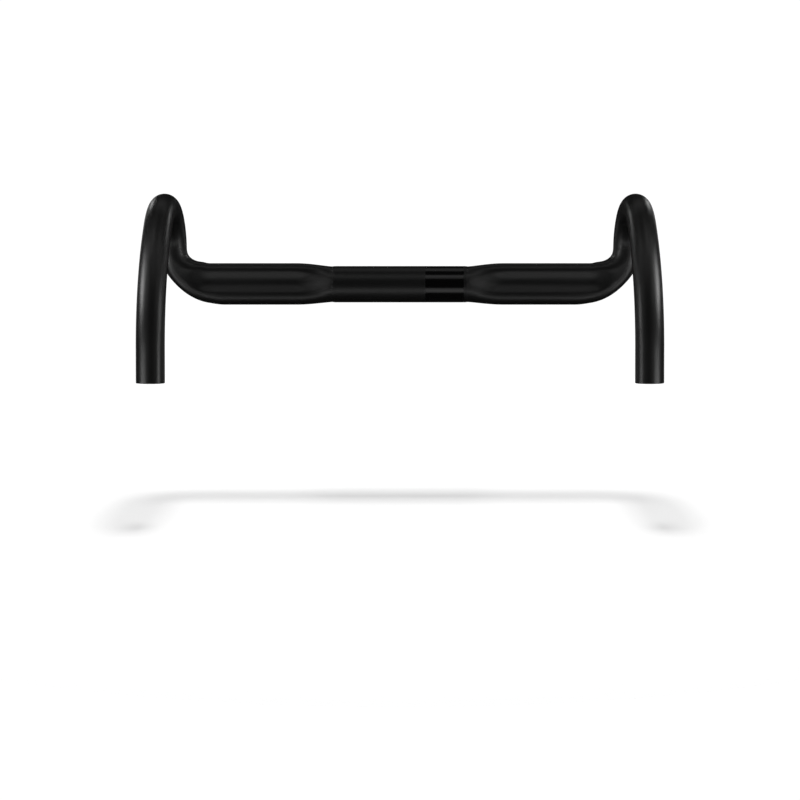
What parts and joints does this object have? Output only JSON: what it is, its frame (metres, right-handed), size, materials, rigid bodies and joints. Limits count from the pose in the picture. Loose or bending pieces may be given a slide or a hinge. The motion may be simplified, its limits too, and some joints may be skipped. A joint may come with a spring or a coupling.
{
  "type": "drop handlebar",
  "caption": "Road bicycle drop handlebar with a round stem clamp tube, flattened tops with an underside cable groove, compact flared hooks and open bar ends.",
  "frame": {"origin": "middle of the clamp tube, on its axis, halfway between the two neck seams", "axes": "+X along the clamp tube towards the rider's left, +Z the reach, which is forward when fitted, and -Y the drop, which is down when fitted. The bar's turn about X is set by the stem's clamp, so on a bicycle it is tipped a few degrees either way. The part is shown and stored with its reach upwards."},
  "size_m": [0.434, 0.1557, 0.1498],
  "materials": {
    "satin_black": "satin black paint with a fine texture",
    "gloss_black": "smooth gloss black film",
    "bare_laminate": "bare moulded laminate with a faint weave",
    "adhesive": "cured structural adhesive"
  },
  "bodies": {
    "root": {"clamp_tube": "satin_black", "gloss_band": "gloss_black", "left_top": "satin_black", "right_top": "satin_black", "left_drop": "satin_black", "right_drop": "satin_black", "left_clamp_bond": "adhesive", "right_clamp_bond": "adhesive", "left_ramp_sleeve": "bare_laminate", "right_ramp_sleeve": "bare_laminate", "left_corner_bond": "adhesive", "right_corner_bond": "adhesive", "left_hook_bond": "adhesive", "right_hook_bond": "adhesive"}
  },
  "joints": []
}
